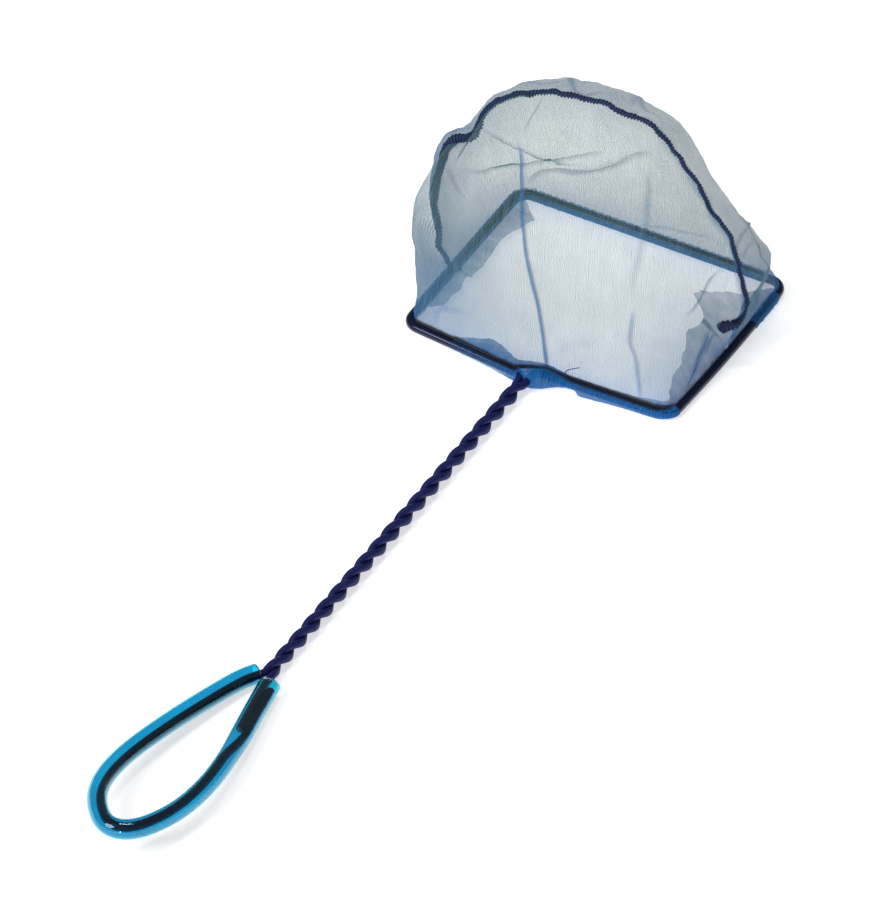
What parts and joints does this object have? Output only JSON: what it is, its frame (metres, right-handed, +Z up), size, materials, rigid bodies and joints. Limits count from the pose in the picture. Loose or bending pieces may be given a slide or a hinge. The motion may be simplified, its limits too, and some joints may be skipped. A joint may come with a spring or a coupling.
{
  "type": "aquarium_fish_net",
  "caption": "Aquarium fish net lying on its mouth: navy coated wire frame and twisted handle, pale mesh bag with a navy seam, clear blue grip tube over the hanging loop",
  "frame": {"origin": "centre of the mouth, on the surface that the net lies on", "axes": "+Y along the net from the handle to the far bar, +X to the right seen from the handle, +Z up towards the top of the bag"},
  "size_m": [0.1314, 0.3746, 0.0924],
  "materials": {
    "steel": "drawn wire",
    "navy_coat": "glossy dip coat",
    "blue_tube": "clear soft vinyl",
    "mesh": "fine knitted nylon mesh",
    "navy_thread": "sewing thread"
  },
  "bodies": {
    "root": {"wire_core": "steel", "wire_coat": "navy_coat", "grip_tube": "blue_tube", "front_panel": "mesh", "back_panel": "mesh", "crown_seam": "navy_thread", "hem_needle_thread": "navy_thread", "hem_bobbin_thread": "navy_thread"}
  },
  "joints": []
}
